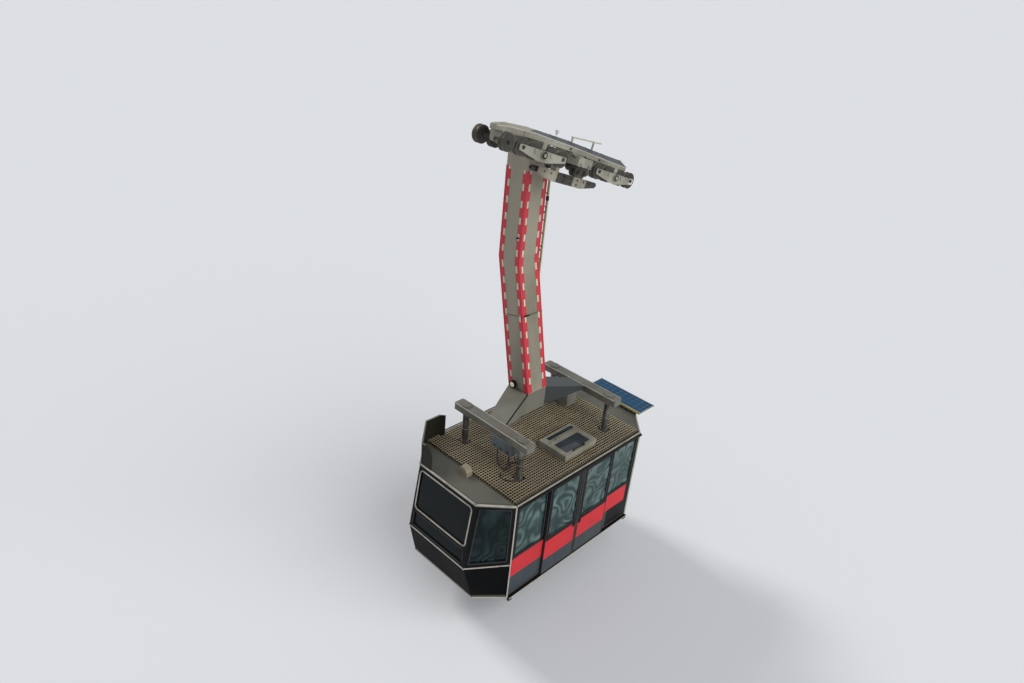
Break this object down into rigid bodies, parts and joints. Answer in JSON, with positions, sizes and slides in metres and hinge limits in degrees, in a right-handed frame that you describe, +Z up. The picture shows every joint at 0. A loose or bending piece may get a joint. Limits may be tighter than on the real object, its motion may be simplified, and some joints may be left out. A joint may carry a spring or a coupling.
{
  "type": "aerial cable car",
  "caption": "Aerial cable car: a closed cabin with sliding doors hung by a bent side hanger from a carriage of grooved wheels that rides on track ropes.",
  "frame": {"origin": "midway between the track ropes, at the height of their centres, right below the hanger pin", "axes": "+X along the line and downhill, +Z up, +Y to the side on which the hanger passes the ropes"},
  "size_m": [5.841, 2.884, 9.386],
  "materials": {
    "shell_paint": "gloss black paint with light trim lines",
    "door_paint": "gloss paint: black, a red band and a grey lower panel",
    "tinted_glass": "grey-green tinted safety glass",
    "rail_metal": "satin anodised",
    "roof_sheet": "weathered grey sheet",
    "floor_plate": "dull plate",
    "grating_paint": "beige mesh grating, weathered",
    "hatch_frame": "light grey paint",
    "hatch_pane": "pale translucent pane",
    "cabinet_paint": "light grey paint",
    "guard_paint": "dark grey-brown paint",
    "solar_face": "blue cells under a clear face",
    "post_paint": "dark grey paint, oily",
    "beam_paint": "weathered grey paint",
    "air_box_paint": "blue-grey paint",
    "hanger_paint": "cream-grey paint, weathered",
    "galvanised": "galvanised, dull",
    "girder_paint": "light beige paint, weathered",
    "dark_machinery": "dark paint, greasy",
    "wheel_metal": "worn bright in the groove",
    "stainless": "brushed",
    "lamp_lens": "pale ribbed lens",
    "desk_plastic": "moulded, fine grain"
  },
  "bodies": {
    "carriage": {"carriage_girder": "girder_paint", "girder_cover": "girder_paint", "service_rail": "galvanised", "rocker_uphill": "girder_paint", "rocker_downhill": "girder_paint", "rope_brakes": "dark_machinery", "haul_rope_clamp": "dark_machinery", "carriage_lamp": "lamp_lens"},
    "cabin": {"beam_equipment_box": "air_box_paint", "column_lamp": "lamp_lens", "control_desk": "desk_plastic", "corner_glass_downhill": "tinted_glass", "corner_glass_uphill": "tinted_glass", "crossbeams": "beam_paint", "damper_posts": "post_paint", "door_rails_left": "rail_metal", "door_rails_right": "rail_metal", "end_glass_downhill": "tinted_glass", "end_glass_uphill": "tinted_glass", "end_lower_downhill": "shell_paint", "end_lower_uphill": "shell_paint", "end_upper_downhill": "shell_paint", "end_upper_uphill": "shell_paint", "floor": "floor_plate", "grab_rails": "stainless", "hanger_column_lower": "hanger_paint", "hanger_column_upper": "hanger_paint", "hanger_foot": "hanger_paint", "hanger_head": "hanger_paint", "hanger_ladder": "galvanised", "hatch_curb": "hatch_frame", "roof": "roof_sheet", "roof_cabinet": "cabinet_paint", "roof_grating": "grating_paint", "roof_guard": "guard_paint", "roof_vent": "roof_sheet", "side_glass_left": "tinted_glass", "side_glass_right": "tinted_glass", "side_wall_left": "shell_paint", "side_wall_right": "shell_paint", "solar_panel": "solar_face"},
    "door_right_uphill": {"door_leaf_right_uphill": "door_paint", "door_glass_right_uphill": "tinted_glass"},
    "door_right_downhill": {"door_leaf_right_downhill": "door_paint", "door_glass_right_downhill": "tinted_glass"},
    "door_left_uphill": {"door_leaf_left_uphill": "door_paint", "door_glass_left_uphill": "tinted_glass"},
    "door_left_downhill": {"door_leaf_left_downhill": "door_paint", "door_glass_left_downhill": "tinted_glass"},
    "hatch": {"hatch_lid": "hatch_frame", "hatch_glass": "hatch_pane"},
    "wheelset_1": {"wheelset_1": "wheel_metal"},
    "wheelset_2": {"wheelset_2": "wheel_metal"},
    "wheelset_3": {"wheelset_3": "wheel_metal"},
    "wheelset_4": {"wheelset_4": "wheel_metal"},
    "wheelset_5": {"wheelset_5": "wheel_metal"},
    "wheelset_6": {"wheelset_6": "wheel_metal"},
    "wheelset_7": {"wheelset_7": "wheel_metal"},
    "wheelset_8": {"wheelset_8": "wheel_metal"},
    "wheelset_9": {"wheelset_9": "wheel_metal"}
  },
  "joints": [
    {"name": "hanger_swing", "type": "hinge", "parent": "carriage", "child": "cabin", "pos_m": [0, 0, 0.215], "axis": [0, 1, 0], "range_deg": [-17.5, 52.5]},
    {"name": "door_right_uphill_slide", "type": "slide", "parent": "cabin", "child": "door_right_uphill", "axis": [-1, 0, 0], "range_m": [0, 0.9]},
    {"name": "door_right_downhill_slide", "type": "slide", "parent": "cabin", "child": "door_right_downhill", "axis": [1, 0, 0], "range_m": [0, 0.9]},
    {"name": "door_left_uphill_slide", "type": "slide", "parent": "cabin", "child": "door_left_uphill", "axis": [-1, 0, 0], "range_m": [0, 0.9]},
    {"name": "door_left_downhill_slide", "type": "slide", "parent": "cabin", "child": "door_left_downhill", "axis": [1, 0, 0], "range_m": [0, 0.9]},
    {"name": "hatch_hinge", "type": "hinge", "parent": "cabin", "child": "hatch", "pos_m": [0.255, -0.37, -5.7597], "axis": [-1, 0, 0], "range_deg": [0, 85]},
    {"name": "wheelset_1_spin", "type": "hinge", "parent": "carriage", "child": "wheelset_1", "pos_m": [-1.95293, 0, 0.77304], "axis": [0, 1, 0], "continuous": true},
    {"name": "wheelset_2_spin", "type": "hinge", "parent": "carriage", "child": "wheelset_2", "pos_m": [-1.6239, 0, 0.66929], "axis": [0, 1, 0], "continuous": true},
    {"name": "wheelset_3_spin", "type": "hinge", "parent": "carriage", "child": "wheelset_3", "pos_m": [-1.30917, 0, 0.57006], "axis": [0, 1, 0], "continuous": true},
    {"name": "wheelset_4_spin", "type": "hinge", "parent": "carriage", "child": "wheelset_4", "pos_m": [-0.89907, 0, 0.44076], "axis": [0, 1, 0], "continuous": true},
    {"name": "wheelset_5_spin", "type": "hinge", "parent": "carriage", "child": "wheelset_5", "pos_m": [-0.58435, 0, 0.34152], "axis": [0, 1, 0], "continuous": true},
    {"name": "wheelset_6_spin", "type": "hinge", "parent": "carriage", "child": "wheelset_6", "pos_m": [0.50766, 0, -0.00279], "axis": [0, 1, 0], "continuous": true},
    {"name": "wheelset_7_spin", "type": "hinge", "parent": "carriage", "child": "wheelset_7", "pos_m": [0.82239, 0, -0.10202], "axis": [0, 1, 0], "continuous": true},
    {"name": "wheelset_8_spin", "type": "hinge", "parent": "carriage", "child": "wheelset_8", "pos_m": [1.23248, 0, -0.23132], "axis": [0, 1, 0], "continuous": true},
    {"name": "wheelset_9_spin", "type": "hinge", "parent": "carriage", "child": "wheelset_9", "pos_m": [1.54721, 0, -0.33055], "axis": [0, 1, 0], "continuous": true}
  ],
  "couplings": [
    {"joint": "door_right_downhill_slide", "follows": "door_right_uphill_slide", "ratio": 1},
    {"joint": "door_left_downhill_slide", "follows": "door_left_uphill_slide", "ratio": 1}
  ]
}
